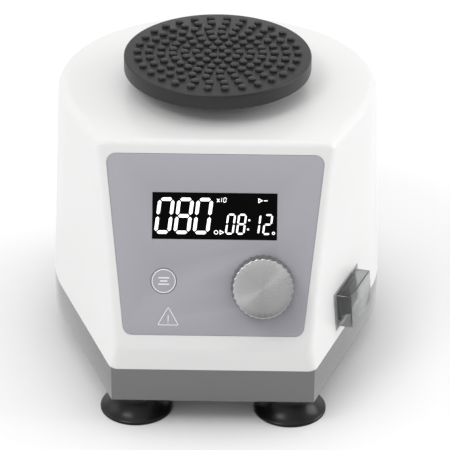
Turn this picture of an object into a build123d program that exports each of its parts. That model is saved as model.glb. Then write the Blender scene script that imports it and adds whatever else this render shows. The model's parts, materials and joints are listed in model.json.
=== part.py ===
from build123d import *

import math
import os

# Bench vortex mixer with a flat studded platform, a display panel and suction feet.
# Drawn in millimetres about the platform's vertical axis, +Z up, control panel facing -Y.
# write() moves each piece so that the origin is the centre of the footprint on the bench.

os.makedirs("parts", exist_ok=True)

# ---------------------------------------------------------------- driving dimensions
RUNNING = 0.05  # radial clearance of a running fit

# Base tray and the seam above it
BASE_BOTTOM = 11.0
SEAM_Z = 26.4
WALL = 3.0
FLOOR_TOP = BASE_BOTTOM + WALL
TONGUE = 1.6
TONGUE_RISE = 3.0

# Plan of the body: half-round back, tangent sides, narrow straight front
FRONT_Y = -86.5
SEAM_CORNER = 40.2
SEAM_RADIUS = 68.2
LOFT_TOP = 114.0
TOP_CORNER = 28.2
TOP_RADIUS = 64.8
TOP_CENTRE_Y = 3.2

# Side profile: upright lip, sloped panel, crowned roof
LIP_TOP = 35.4
CREASE_Y = -50.0
CREASE_Z = 109.2
ROOF_CROWN = (5.0, 110.8)
ROOF_BACK = (75.0, 108.4)
EDGE_ROUND = 4.0
ROOF_SEAT_Z = 109.6
ROOF_SEAT_R = 21.0
ROOF_HOLE_R = 17.0

# Panel layout: u to the right, v up the slope from the lip, n out of the panel
OVERLAY_LOW = 5.9
OVERLAY_HIGH = 77.4
OVERLAY_HALF_LOW = 35.3
OVERLAY_HALF_HIGH = 43.2
OVERLAY_CORNER = 3.8
FILM = 0.5
GAP = 0.15
LCD_V = 53.0
LCD_W = 49.0
LCD_H = 18.4
MODE_U, MODE_V = -19.7, 27.3
MODE_R = 5.0
MODE_STEM_R = 2.0
MODE_STEM_LOW = -4.2
KNOB_U, KNOB_V = 19.2, 25.7
BOARD_V = 39.5
BOARD_FRONT = -10.0
BOARD_BACK = -11.6
BOARD_SCREW_R = 1.25
STANDOFFS = [(u, v) for u in (-31.0, 31.0) for v in (14.0, 66.0)]

# Knob and encoder
KNOB_BASE_R = 12.6
KNOB_FACE_R = 11.9
KNOB_LOW = 1.0
KNOB_HIGH = 13.2
KNOB_HOLLOW_TOP = 5.5
FLUTES = 30
FLUTE_R = 0.75
SHAFT_R = 3.0
SHAFT_LOW = -7.5
SHAFT_TOP = 10.5
SHAFT_FLAT = 2.5
BUSH_R = 3.45
BUSH_TOP = 2.5
ENCODER_TOP = -3.4

# Power switch on the right side wall: a along, b up, n out of the wall
SWITCH_ALONG = 0.604
SWITCH_Z = 38.3
SWITCH_CUT = (18.3, 10.7)
HOOD_SEAT = -0.4
HOOD_FLANGE = (27.4, 16.2)
HOOD_OUTER = (22.8, 14.2)
HOOD_TOP = 6.4
HOOD_WALL = 0.6
BEZEL = (19.4, 11.7)
SWITCH_DEPTH = -14.0
ROCKER_TILT = 12.0
ROCKER_PIVOT = -1.2
ROCKER_R = 7.7
ROCKER_WIDTH = 8.2

# Supply inlet and cooling slots at the back
JACK_Z = 38.0
JACK_SEAT_Y = 67.0
JACK_SEAT_R = 9.0
JACK_BARREL_R = 3.9
JACK_BORE_R = 2.8
JACK_MOUTH_Y = 68.1
VENT_Z = 66.0
VENT_SIZE = (18.0, 2.2)
VENT_PITCH = 5.0
VENT_COUNT = 9

# Platform
PLATE_R = 38.0
PLATE_TOP = 124.0
PLATE_BOTTOM = 117.8
PLATE_SKIN = 2.5
STUD_RINGS = (6, 12, 18, 25, 25, 30, 30)
STUD_FIRST_R = 3.9
STUD_PITCH = 4.78
STUD_R = 1.7
STUD_HEIGHT = 1.3
ORBIT_R = 2.0  # half of the 4 mm orbit
AXLE = (0, -ORBIT_R)
NECK_R = 10.0
BOOT_FLANGE = 1.4

# Suction feet
FOOT_R = 14.6
FOOT_NECK_R = 4.0
FOOT_HOLLOW_R = 13.2
FOOT_HOLLOW_H = 4.2
FEET = {
    "foot_front_left": (-30.9, -72.5),
    "foot_front_right": (30.9, -72.5),
    "foot_rear_left": (-38.2, 38.2),
    "foot_rear_right": (38.2, 38.2),
}

# Screws that hold the shell to the tray
BOSSES = [(-14.0, -80.2), (14.0, -80.2), (-24.0, 57.4), (24.0, 57.4)]
BOSS_R = 4.0
BOSS_TOP = 37.0
SCREW_R = 1.75
SCREW_HEAD_R = 3.0
SCREW_HEAD_H = 2.2
SCREW_SINK = 5.0
SCREW_BITE = 18.0

# Control board's parts, on the panel
BOARD_SIZE = (69.0, 59.0)
CHIP_H = 1.6
SOCKET_H = 5.0
KEY_SWITCH = 6.0
KEY_SWITCH_H = 3.8
ENCODER_SIZE = 12.0
PLUNGER_H = 1.1
NUT_H = 2.0

# Switch terminals and jack
TERMINAL_PITCH = 6.0
TERMINAL_LENGTH = 8.0
JACK_FLANGE_R = 6.0
JACK_INNER_Y = 52.0
JACK_BORE_Y = 56.0
JACK_PIN_R = 1.0
JACK_PIN_LENGTH = 10.0
JACK_NUT_Y = 61.6
JACK_NUT_H = 2.6

# Motor carriage, floating on springs above the ballast plate
BALLAST_TOP = 20.0
POST_AT = 26.0
POST_R = 3.0
POST_FOOT_R = 5.5
POST_TOP = 70.0
SPRING_R = 5.2
PRESS = 1.5  # travel of the carriage when the platform is pressed
BALLAST_SIZE = (62.0, 106.0)
BALLAST_Y = -8.0
DRIVER_Y = -48.0
DRIVER_SIZE = (50.0, 26.0)
DRIVER_LIFT = 3.0
BOARD_THICK = 1.6
TOUCH_Y = 29.5
TOUCH_BRACKET_TOP = 50.0
TOUCH_BODY_H = 6.5
SPRING_LOW = 50.0
CARRIER_LOW = 60.0
CARRIER_TOP = 64.0
MOTOR_R = 20.0
MOTOR_LOW = 24.0
CAN_INNER_R = 18.6
BELL_LOW = 55.0
MOTOR_SHAFT_R = 2.5
SHAFT_END_Z = 86.0
BEARING_R = 8.0
BEARING_H = 5.0
MOTOR_SCREW_AT = 14.0
MOTOR_SCREW_R = 1.5
MOTOR_CORE = (34.0, 52.0)
MAGNET_R = 13.0
WEIGHT_LOW = 78.0
WEIGHT_H = 9.0
WEIGHT_R = 21.0
SET_SCREW_R = 2.0
HUB_LOW = 70.0
HUB_TOP = 90.0
HUB_R = 9.0
PIN_R = 5.0
PIN_TOP = 107.0
PLATE_BEARING_R = 11.0
PLATE_BEARING_H = 6.0

# Rating plate and slots under the tray
LABEL = (44.0, 24.0)
LABEL_Y = 18.0
LABEL_THICK = 0.3
FLOOR_VENT_X = 45.0
FLOOR_VENT_PITCH = 6.0


# ---------------------------------------------------------------- planes and outlines
def write(piece, node):
    """Move a piece from the platform's axis to the footprint's centre and store it."""
    piece.part = piece.part.moved(Location((0, AXIS_Y, 0)))
    piece.part.label = node
    export_step(piece.part, f"parts/{node}.step")


def side_start(corner, centre, radius):
    """Where the straight side meets the round back, on the right."""
    reach = math.hypot(corner, FRONT_Y - centre)
    turn = math.atan2(FRONT_Y - centre, corner) + math.acos(radius / reach)
    return (radius * math.cos(turn), centre + radius * math.sin(turn))


def outline(z, corner, centre, radius, inset):
    """Plan of the body at one height."""
    side = side_start(corner, centre, radius)
    with BuildSketch(Plane.XY.offset(z)) as plan:
        with BuildLine():
            Line((-corner, FRONT_Y), (corner, FRONT_Y))
            Line((corner, FRONT_Y), side)
            ThreePointArc(side, (0, centre + radius), (-side[0], side[1]))
            Line((-side[0], side[1]), (-corner, FRONT_Y))
        make_face()
        if inset:
            offset(amount=-inset, kind=Kind.INTERSECTION)
    return plan.sketch


def seam_outline(z, inset=0.0):
    return outline(z, SEAM_CORNER, 0.0, SEAM_RADIUS, inset)


def drafted_body(inset=0.0):
    """The shell's tapering sides, before the panel and the roof trim them."""
    low = seam_outline(SEAM_Z, inset)
    high = outline(LOFT_TOP, TOP_CORNER, TOP_CENTRE_Y, TOP_RADIUS, inset)
    return loft([low, high], ruled=True, mode=Mode.PRIVATE)


def side_profile(bottom, inset=0.0):
    """Lip, panel and roof seen from the right side."""
    with BuildSketch(Plane.YZ) as profile:
        with BuildLine():
            Line((FRONT_Y, bottom), (FRONT_Y, LIP_TOP))
            Line((FRONT_Y, LIP_TOP), (CREASE_Y, CREASE_Z))
            ThreePointArc((CREASE_Y, CREASE_Z), ROOF_CROWN, ROOF_BACK)
            Line(ROOF_BACK, (ROOF_BACK[0], bottom))
            Line((ROOF_BACK[0], bottom), (FRONT_Y, bottom))
        make_face()
        if inset:
            offset(amount=-inset, kind=Kind.INTERSECTION)
    return profile.sketch


SLOPE = math.atan2(CREASE_Y - FRONT_Y, CREASE_Z - LIP_TOP)
KNOB_FRONT_Y = (
    FRONT_Y + (KNOB_V - KNOB_FACE_R) * math.sin(SLOPE) - KNOB_HIGH * math.cos(SLOPE)
)
AXIS_Y = -(SEAM_RADIUS + KNOB_FRONT_Y) / 2  # platform axis behind the footprint's centre
PANEL = Plane(
    origin=(0, FRONT_Y, LIP_TOP),
    x_dir=(1, 0, 0),
    z_dir=(0, -math.cos(SLOPE), math.sin(SLOPE)),
)


def on_panel(n=0.0, u=0.0, v=0.0):
    """A plane parallel to the panel, through one of its points."""
    return Plane(PANEL.from_local_coords((u, v, n)), PANEL.x_dir, PANEL.z_dir)


def at_knob(n):
    return on_panel(n, KNOB_U, KNOB_V)


def at_mode_key(n):
    return on_panel(n, MODE_U, MODE_V)


def overlay_outline(n, inset=0.0):
    """Trapezoid with rounded corners, wider at the top."""
    with BuildSketch(on_panel(n)) as shape:
        with BuildLine():
            Polyline(
                (-OVERLAY_HALF_LOW, OVERLAY_LOW),
                (OVERLAY_HALF_LOW, OVERLAY_LOW),
                (OVERLAY_HALF_HIGH, OVERLAY_HIGH),
                (-OVERLAY_HALF_HIGH, OVERLAY_HIGH),
                close=True,
            )
        make_face()
        fillet(shape.vertices(), OVERLAY_CORNER)
        if inset:
            offset(amount=-inset)
    return shape.sketch


def wall_plane():
    """The tangent plane of the right side wall at the power switch."""
    low_front = Vector(SEAM_CORNER, FRONT_Y, SEAM_Z)
    low_back = Vector(*side_start(SEAM_CORNER, 0.0, SEAM_RADIUS), SEAM_Z)
    high_front = Vector(TOP_CORNER, FRONT_Y, LOFT_TOP)
    high_back = Vector(*side_start(TOP_CORNER, TOP_CENTRE_Y, TOP_RADIUS), LOFT_TOP)
    rise = (SWITCH_Z - SEAM_Z) / (LOFT_TOP - SEAM_Z)
    front = low_front + (high_front - low_front) * rise
    back = low_back + (high_back - low_back) * rise
    bottom = low_front + (low_back - low_front) * SWITCH_ALONG
    top = high_front + (high_back - high_front) * SWITCH_ALONG
    out = (back - front).cross(top - bottom)
    return Plane(front + (back - front) * SWITCH_ALONG, back - front, out)


SIDE = wall_plane()


def on_side(n):
    """A plane parallel to the side wall at the switch."""
    return SIDE.offset(n)


def pivot_plane(b):
    """Across the rocker's pin: x runs along the wall, y out of it."""
    pivot = SIDE.from_local_coords((0, b, ROCKER_PIVOT))
    return Plane(pivot, SIDE.x_dir, -SIDE.y_dir)


def rear_plane(y):
    """Facing backwards at the height of the supply inlet."""
    return Plane((0, y, JACK_Z), (-1, 0, 0), (0, 1, 0))


def corners(distance):
    return [(x, y) for x in (-distance, distance) for y in (-distance, distance)]


def discs_at(height, radius, centres=((0, 0),)):
    """Circles about given centres, as one sketch on a level plane."""
    with BuildSketch(Plane.XY.offset(height)) as discs:
        with Locations(*centres):
            Circle(radius)
    return discs.sketch


def ring(low, high, outer, inner, centre=(0, 0)):
    """An upright tube, or a disc where the inner radius is 0."""
    with BuildPart() as tube:
        with BuildSketch(Plane.XY.offset(low)):
            with Locations(centre):
                Circle(outer)
                if inner:
                    Circle(inner, mode=Mode.SUBTRACT)
        extrude(amount=high - low)
    return tube


# ---------------------------------------------------------------- housing
with BuildPart() as cavity:
    add(drafted_body(WALL))
    extrude(side_profile(SEAM_Z - 20, WALL), amount=90, both=True, mode=Mode.INTERSECT)

with BuildPart() as housing_shell:
    add(drafted_body())
    extrude(side_profile(SEAM_Z), amount=90, both=True, mode=Mode.INTERSECT)
    rim = housing_shell.edges().filter_by(lambda e: e.bounding_box().max.Z < SEAM_Z + 0.5)
    side_seams = housing_shell.edges().filter_by(
        lambda e: e.bounding_box().min.Z < SEAM_Z + 0.5 and e.bounding_box().max.Z > CREASE_Z
    )
    fillet(housing_shell.edges() - rim - side_seams, EDGE_ROUND)
    add(cavity.part, mode=Mode.SUBTRACT)
    # Screw bosses, merged with the walls
    extrude(discs_at(SEAM_Z, BOSS_R, BOSSES), amount=BOSS_TOP - SEAM_Z)
    extrude(
        discs_at(SEAM_Z, SCREW_R + RUNNING, BOSSES),
        amount=BOSS_TOP - SEAM_Z - 1.5,
        mode=Mode.SUBTRACT,
    )
    # Flat seat and hole for the neck boot
    extrude(discs_at(ROOF_SEAT_Z, ROOF_SEAT_R), amount=5, mode=Mode.SUBTRACT)
    extrude(discs_at(ROOF_SEAT_Z - 8, ROOF_HOLE_R), amount=12, mode=Mode.SUBTRACT)
    # Overlay recess, display window, key and encoder holes
    extrude(overlay_outline(-FILM), amount=5, mode=Mode.SUBTRACT)
    with BuildSketch(on_panel(-WALL - 1, v=LCD_V)):
        Rectangle(LCD_W, LCD_H)
    extrude(amount=6, mode=Mode.SUBTRACT)
    with BuildSketch(at_mode_key(-FILM * 2)):
        Circle(MODE_R + 0.3)
    extrude(amount=2, mode=Mode.SUBTRACT)
    with BuildSketch(at_mode_key(-WALL - 1)):
        Circle(MODE_STEM_R + 0.3)
    extrude(amount=5, mode=Mode.SUBTRACT)
    with BuildSketch(at_knob(-WALL - 1)):
        Circle(BUSH_R + 0.25)
    extrude(amount=6, mode=Mode.SUBTRACT)
    # Standoffs for the control board
    with BuildSketch(on_panel(BOARD_FRONT)):
        with Locations(STANDOFFS):
            Circle(2.8)
    extrude(amount=-BOARD_FRONT - WALL + 0.5)
    with BuildSketch(on_panel(BOARD_FRONT)):
        with Locations(STANDOFFS):
            Circle(BOARD_SCREW_R + RUNNING)
    extrude(amount=5.5, mode=Mode.SUBTRACT)
    # Seat and cut-out for the power switch
    with BuildSketch(on_side(HOOD_SEAT)):
        Rectangle(HOOD_FLANGE[0] + 0.3, HOOD_FLANGE[1] + 0.3)
    extrude(amount=3, mode=Mode.SUBTRACT)
    with BuildSketch(on_side(-WALL - 3)):
        Rectangle(*SWITCH_CUT)
    extrude(amount=8, mode=Mode.SUBTRACT)
    # Flat seat and hole for the supply inlet
    with BuildSketch(rear_plane(JACK_SEAT_Y)):
        Circle(JACK_SEAT_R)
    extrude(amount=4, mode=Mode.SUBTRACT)
    with BuildSketch(rear_plane(JACK_SEAT_Y - 8)):
        Circle(JACK_BARREL_R + 0.1)
    extrude(amount=12, mode=Mode.SUBTRACT)
    # Cooling slots across the back
    with BuildSketch(rear_plane(JACK_SEAT_Y - 10)):
        with Locations((0, VENT_Z - JACK_Z)):
            with GridLocations(VENT_PITCH, 0, VENT_COUNT, 1):
                SlotOverall(*VENT_SIZE, rotation=90)
    extrude(amount=15, mode=Mode.SUBTRACT)
write(housing_shell, "housing_shell")

with BuildPart() as base_tray:
    extrude(seam_outline(BASE_BOTTOM), amount=SEAM_Z - BASE_BOTTOM)
    chamfer(base_tray.faces().sort_by(Axis.Z)[0].edges(), 1.0)
    extrude(seam_outline(FLOOR_TOP, WALL), amount=SEAM_Z - FLOOR_TOP, mode=Mode.SUBTRACT)
    # Tongue that locates the shell, with gaps where the screw bosses stand
    with BuildSketch(Plane.XY.offset(SEAM_Z - 4)):
        add(seam_outline(0, WALL))
        add(seam_outline(0, WALL + TONGUE), mode=Mode.SUBTRACT)
    extrude(amount=4)
    with BuildSketch(Plane.XY.offset(SEAM_Z)):
        add(seam_outline(0, WALL + 0.8))
        add(seam_outline(0, WALL + TONGUE), mode=Mode.SUBTRACT)
        with Locations(BOSSES):
            Circle(BOSS_R + 0.6, mode=Mode.SUBTRACT)
    extrude(amount=TONGUE_RISE)
    # Screw bosses with sunk heads
    extrude(discs_at(FLOOR_TOP, BOSS_R, BOSSES), amount=SEAM_Z - FLOOR_TOP)
    extrude(
        discs_at(BASE_BOTTOM, SCREW_R + RUNNING, BOSSES),
        amount=SEAM_Z - BASE_BOTTOM,
        mode=Mode.SUBTRACT,
    )
    extrude(
        discs_at(BASE_BOTTOM, SCREW_HEAD_R + 0.25, BOSSES),
        amount=SCREW_SINK,
        mode=Mode.SUBTRACT,
    )
    # Holes for the feet, cooling slots and the rating plate's recess
    extrude(
        discs_at(BASE_BOTTOM, FOOT_NECK_R, FEET.values()), amount=WALL, mode=Mode.SUBTRACT
    )
    with BuildSketch(Plane.XY.offset(BASE_BOTTOM)):
        with GridLocations(2 * FLOOR_VENT_X, FLOOR_VENT_PITCH, 2, 6):
            SlotOverall(18, 2.6)
    extrude(amount=WALL, mode=Mode.SUBTRACT)
    with BuildSketch(Plane.XY.offset(BASE_BOTTOM)):
        with Locations((0, LABEL_Y)):
            RectangleRounded(LABEL[0] + 0.3, LABEL[1] + 0.3, 2.0)
    extrude(amount=LABEL_THICK, mode=Mode.SUBTRACT)
write(base_tray, "base_tray")

with BuildPart() as rating_plate:
    with BuildSketch(Plane.XY.offset(BASE_BOTTOM)):
        with Locations((0, LABEL_Y)):
            RectangleRounded(LABEL[0], LABEL[1], 1.85)
    extrude(amount=LABEL_THICK)
write(rating_plate, "rating_plate")

with BuildPart() as housing_screws:
    head_low = BASE_BOTTOM + SCREW_SINK - SCREW_HEAD_H
    extrude(discs_at(head_low, SCREW_HEAD_R, BOSSES), amount=SCREW_HEAD_H)
    extrude(discs_at(BASE_BOTTOM + SCREW_SINK, SCREW_R, BOSSES), amount=SCREW_BITE)
    with BuildSketch(Plane.XY.offset(head_low)):
        with Locations(BOSSES):
            RegularPolygon(1.4, 6)
    extrude(amount=1.4, mode=Mode.SUBTRACT)
write(housing_screws, "housing_screws")


def suction_foot(x, y):
    """Cup with a thin rim, a necked-in top and a bulb that snaps through the tray floor."""
    neck = FOOT_NECK_R - RUNNING
    dome_r = (FOOT_HOLLOW_R**2 + FOOT_HOLLOW_H**2) / (2 * FOOT_HOLLOW_H)
    with BuildPart() as foot:
        with BuildSketch(Plane((x, y, 0), (1, 0, 0), (0, -1, 0))):
            with BuildLine():
                Polyline(
                    (0, 0),
                    (0, FLOOR_TOP + 3.4),
                    (2.6, FLOOR_TOP + 3.4),
                    (5.0, FLOOR_TOP + 1.2),
                    (5.0, FLOOR_TOP),
                    (neck, FLOOR_TOP),
                    (neck, BASE_BOTTOM),
                    (8.6, BASE_BOTTOM),
                    (8.6, BASE_BOTTOM - 1.6),
                )
                ThreePointArc((8.6, BASE_BOTTOM - 1.6), (9.9, 5.4), (FOOT_R - 0.6, 1.6))
                Polyline((FOOT_R - 0.6, 1.6), (FOOT_R, 1.0), (FOOT_R, 0), (0, 0))
            make_face()
        revolve(axis=Axis((x, y, 0), (0, 0, 1)))
        with Locations((x, y, FOOT_HOLLOW_H - dome_r)):
            Sphere(dome_r, mode=Mode.SUBTRACT)
    return foot


for foot_name, foot_place in FEET.items():
    write(suction_foot(*foot_place), foot_name)

# ---------------------------------------------------------------- control panel
with BuildPart() as panel_overlay:
    extrude(overlay_outline(-FILM, GAP), amount=FILM)
    with BuildSketch(on_panel(-FILM, v=LCD_V)):
        Rectangle(LCD_W, LCD_H)
    extrude(amount=FILM, mode=Mode.SUBTRACT)
    with BuildSketch(at_mode_key(-FILM)):
        Circle(MODE_R + GAP)
    extrude(amount=FILM, mode=Mode.SUBTRACT)
    with BuildSketch(at_knob(-FILM)):
        Circle(7.0)
    extrude(amount=FILM, mode=Mode.SUBTRACT)
write(panel_overlay, "panel_overlay")

with BuildPart() as lcd_window:
    with BuildSketch(on_panel(-1.6, v=LCD_V)):
        Rectangle(LCD_W - 0.2, LCD_H - 0.2)
    extrude(amount=1.6)
write(lcd_window, "lcd_window")

with BuildPart() as lcd_module:
    with BuildSketch(on_panel(BOARD_FRONT, v=LCD_V)):
        Rectangle(LCD_W + 5.0, LCD_H + 5.0)
    extrude(amount=-BOARD_FRONT - WALL - 0.1)
    with BuildSketch(on_panel(-WALL - 0.1, v=LCD_V)):
        Rectangle(LCD_W - 0.4, LCD_H - 0.4)
    extrude(amount=WALL - 1.6)
write(lcd_module, "lcd_module")

with BuildPart() as control_board:
    with BuildSketch(on_panel(BOARD_BACK, v=BOARD_V)):
        RectangleRounded(*BOARD_SIZE, 2.0)
        with Locations(*[(u, v - BOARD_V) for u, v in STANDOFFS]):
            Circle(BOARD_SCREW_R + 0.15, mode=Mode.SUBTRACT)
    extrude(amount=BOARD_FRONT - BOARD_BACK)
    # Processor, drivers and connector on the back
    with BuildSketch(on_panel(BOARD_BACK - CHIP_H, v=BOARD_V)):
        Rectangle(10.0, 10.0)
        with Locations((-18, -12), (18, 10)):
            Rectangle(8.0, 5.0)
    extrude(amount=CHIP_H)
    with BuildSketch(on_panel(BOARD_BACK - SOCKET_H, v=BOARD_V)):
        with Locations((0, 24)):
            Rectangle(16.0, 5.0)
    extrude(amount=SOCKET_H)
write(control_board, "control_board")

with BuildPart() as board_screws:
    with BuildSketch(on_panel(BOARD_BACK - 1.8)):
        with Locations(STANDOFFS):
            Circle(2.6)
    extrude(amount=1.8)
    with BuildSketch(on_panel(BOARD_BACK)):
        with Locations(STANDOFFS):
            Circle(BOARD_SCREW_R)
    extrude(amount=6.0)
write(board_screws, "board_screws")

with BuildPart() as mode_key:
    with BuildSketch(at_mode_key(-FILM)):
        Circle(MODE_R)
    extrude(amount=FILM)
    with BuildSketch(at_mode_key(MODE_STEM_LOW)):
        Circle(MODE_STEM_R)
    extrude(amount=-MODE_STEM_LOW - FILM)
write(mode_key, "mode_key")

with BuildPart() as mode_switch:
    with BuildSketch(at_mode_key(BOARD_FRONT)):
        Rectangle(KEY_SWITCH, KEY_SWITCH)
    extrude(amount=KEY_SWITCH_H)
    with BuildSketch(at_mode_key(BOARD_FRONT + KEY_SWITCH_H)):
        Circle(1.7)
    extrude(amount=1.5)
write(mode_switch, "mode_switch")

# ---------------------------------------------------------------- encoder and knob
with BuildPart() as encoder_body:
    with BuildSketch(at_knob(BOARD_FRONT)):
        RectangleRounded(ENCODER_SIZE, ENCODER_SIZE, 0.8)
    extrude(amount=ENCODER_TOP - BOARD_FRONT)
    with BuildSketch(at_knob(ENCODER_TOP)):
        Circle(BUSH_R)
    extrude(amount=BUSH_TOP - ENCODER_TOP)
    with BuildSketch(at_knob(BOARD_FRONT + 0.6)):
        Circle(SHAFT_R + RUNNING)
    extrude(amount=15, mode=Mode.SUBTRACT)
write(encoder_body, "encoder_body")

with BuildPart() as encoder_nut:
    with BuildSketch(at_knob(-FILM)):
        RegularPolygon(5.0, 6, major_radius=False)
        Circle(BUSH_R + RUNNING, mode=Mode.SUBTRACT)
    extrude(amount=NUT_H)
write(encoder_nut, "encoder_nut")

with BuildPart() as encoder_plunger:
    with BuildSketch(at_knob(SHAFT_LOW - PLUNGER_H)):
        Circle(SHAFT_R - 0.1)
    extrude(amount=PLUNGER_H)
write(encoder_plunger, "encoder_plunger")


def shaft_flat(n):
    """The area that the shaft's flat takes away."""
    with BuildSketch(at_knob(n)) as area:
        with Locations((0, SHAFT_FLAT + 2)):
            Rectangle(8, 4)
    return area.sketch


with BuildPart() as encoder_shaft:
    with BuildSketch(at_knob(SHAFT_LOW)):
        Circle(SHAFT_R)
    extrude(amount=SHAFT_TOP - SHAFT_LOW)
    extrude(shaft_flat(3.5), amount=8, mode=Mode.SUBTRACT)
write(encoder_shaft, "encoder_shaft")


def fluted(radius, n):
    """Round section with shallow finger flutes."""
    with BuildSketch(at_knob(n)) as section:
        Circle(radius)
        with PolarLocations(radius + FLUTE_R * 0.45, FLUTES):
            Circle(FLUTE_R, mode=Mode.SUBTRACT)
    return section.sketch


with BuildPart() as knob:
    loft([fluted(KNOB_BASE_R, KNOB_LOW), fluted(KNOB_FACE_R, KNOB_HIGH)], ruled=True)
    with BuildSketch(at_knob(KNOB_LOW)):
        Circle(9.0)
    extrude(amount=KNOB_HOLLOW_TOP - KNOB_LOW, mode=Mode.SUBTRACT)
    with BuildSketch(at_knob(3.6)):
        Circle(5.2)
    extrude(amount=KNOB_HOLLOW_TOP - 3.6)
    with BuildSketch(at_knob(3.5)):
        Circle(SHAFT_R)
        add(shaft_flat(0), mode=Mode.SUBTRACT)
    extrude(amount=SHAFT_TOP - 3.5, mode=Mode.SUBTRACT)
write(knob, "knob")

# ---------------------------------------------------------------- power switch
with BuildPart() as switch_frame:
    with BuildSketch(on_side(HOOD_SEAT)):
        RectangleRounded(*BEZEL, 0.8)
    extrude(amount=1.4)
    with BuildSketch(on_side(SWITCH_DEPTH)):
        Rectangle(SWITCH_CUT[0] - 0.3, SWITCH_CUT[1] - 0.3)
    extrude(amount=HOOD_SEAT - SWITCH_DEPTH)
    with BuildSketch(on_side(-7.0)):
        Rectangle(16.0, ROCKER_WIDTH + 0.4)
    extrude(amount=10.0, mode=Mode.SUBTRACT)
    with BuildSketch(pivot_plane(5.1)):
        Circle(1.0)
    extrude(amount=10.2, mode=Mode.SUBTRACT)
write(switch_frame, "switch_frame")

with BuildPart() as rocker_pin:
    with BuildSketch(pivot_plane(5.1)):
        Circle(1.0)
    extrude(amount=10.2)
write(rocker_pin, "rocker_pin")

with BuildPart() as switch_rocker:
    with BuildSketch(pivot_plane(ROCKER_WIDTH / 2)):
        with BuildLine() as rocker_shape:
            Polyline(
                (-9.0, 4.5), (0, 2.7), (9.0, 4.5), (9.0, 0.2),
                (4.0, -3.6), (-4.0, -3.6), (-9.0, 0.2), close=True,
            )
        make_face()
        Circle(ROCKER_R, mode=Mode.INTERSECT)
        Circle(1.0 + RUNNING, mode=Mode.SUBTRACT)
    extrude(amount=ROCKER_WIDTH)
    rocker_axis = Axis(SIDE.from_local_coords((0, 0, ROCKER_PIVOT)), SIDE.y_dir)
    switch_rocker.part = switch_rocker.part.rotate(rocker_axis, ROCKER_TILT)
write(switch_rocker, "switch_rocker")

with BuildPart() as switch_terminals:
    with BuildSketch(on_side(SWITCH_DEPTH - TERMINAL_LENGTH)):
        with GridLocations(TERMINAL_PITCH, 0, 3, 1):
            Rectangle(0.8, 4.8)
    extrude(amount=TERMINAL_LENGTH)
write(switch_terminals, "switch_terminals")

with BuildPart() as switch_hood:
    with BuildSketch(on_side(HOOD_SEAT)):
        Rectangle(*HOOD_FLANGE)
    extrude(amount=1.2)
    with BuildSketch(on_side(HOOD_SEAT)):
        RectangleRounded(*HOOD_OUTER, 1.0)
    extrude(amount=HOOD_TOP - HOOD_SEAT)
    with BuildSketch(on_side(HOOD_SEAT)):
        Rectangle(HOOD_OUTER[0] - 2 * HOOD_WALL, HOOD_OUTER[1] - 2 * HOOD_WALL)
    extrude(amount=HOOD_TOP - HOOD_SEAT - HOOD_WALL, mode=Mode.SUBTRACT)
write(switch_hood, "switch_hood")

# ---------------------------------------------------------------- supply inlet
with BuildPart() as dc_jack:
    with BuildSketch(rear_plane(JACK_SEAT_Y)):
        Circle(JACK_FLANGE_R)
    extrude(amount=JACK_MOUTH_Y - JACK_SEAT_Y)
    with BuildSketch(rear_plane(JACK_INNER_Y)):
        Circle(JACK_BARREL_R)
    extrude(amount=JACK_SEAT_Y - JACK_INNER_Y)
    with BuildSketch(rear_plane(JACK_BORE_Y)):
        Circle(JACK_BORE_R)
    extrude(amount=JACK_MOUTH_Y - JACK_BORE_Y, mode=Mode.SUBTRACT)
write(dc_jack, "dc_jack")

with BuildPart() as dc_jack_pin:
    with BuildSketch(rear_plane(JACK_BORE_Y)):
        Circle(JACK_PIN_R)
    extrude(amount=JACK_PIN_LENGTH)
write(dc_jack_pin, "dc_jack_pin")

with BuildPart() as dc_jack_nut:
    with BuildSketch(rear_plane(JACK_NUT_Y)):
        RegularPolygon(5.5, 6, major_radius=False)
        Circle(JACK_BARREL_R + RUNNING, mode=Mode.SUBTRACT)
    extrude(amount=JACK_NUT_H)
write(dc_jack_nut, "dc_jack_nut")

# ---------------------------------------------------------------- ballast and carriage
with BuildPart() as ballast_plate:
    with BuildSketch(Plane.XY.offset(FLOOR_TOP)):
        with Locations((0, BALLAST_Y)):
            RectangleRounded(*BALLAST_SIZE, 4)
        with Locations(*corners(POST_AT)):
            Circle(POST_R, mode=Mode.SUBTRACT)
        with Locations(*FEET.values()):
            Circle(FOOT_NECK_R + 4.0, mode=Mode.SUBTRACT)
    extrude(amount=BALLAST_TOP - FLOOR_TOP)
write(ballast_plate, "ballast_plate")

DRIVER_TOP = BALLAST_TOP + DRIVER_LIFT + BOARD_THICK

with BuildPart() as driver_board:
    with BuildSketch(Plane.XY.offset(BALLAST_TOP + DRIVER_LIFT)):
        with Locations((0, DRIVER_Y)):
            RectangleRounded(*DRIVER_SIZE, 1.5)
    extrude(amount=BOARD_THICK)
    # Spacers under the corners
    with BuildSketch(Plane.XY.offset(BALLAST_TOP)):
        with Locations((0, DRIVER_Y)):
            with GridLocations(DRIVER_SIZE[0] - 8, DRIVER_SIZE[1] - 8, 2, 2):
                Circle(2.2)
    extrude(amount=DRIVER_LIFT)
    # Power transistors and the lead socket
    with BuildSketch(Plane.XY.offset(DRIVER_TOP)):
        with Locations((-14, DRIVER_Y), (14, DRIVER_Y + 6)):
            Rectangle(9, 7)
        with Locations((14, DRIVER_Y - 6)):
            Rectangle(14, 5)
    extrude(amount=4)
write(driver_board, "driver_board")

write(ring(DRIVER_TOP, DRIVER_TOP + 12.4, 5.0, 0, (0, DRIVER_Y)), "driver_capacitor")

with BuildPart() as guide_posts:
    extrude(discs_at(FLOOR_TOP, POST_R, corners(POST_AT)), amount=POST_TOP - FLOOR_TOP)
    extrude(
        discs_at(BALLAST_TOP, POST_FOOT_R, corners(POST_AT)),
        amount=SPRING_LOW - BALLAST_TOP,
    )
write(guide_posts, "guide_posts")

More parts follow.
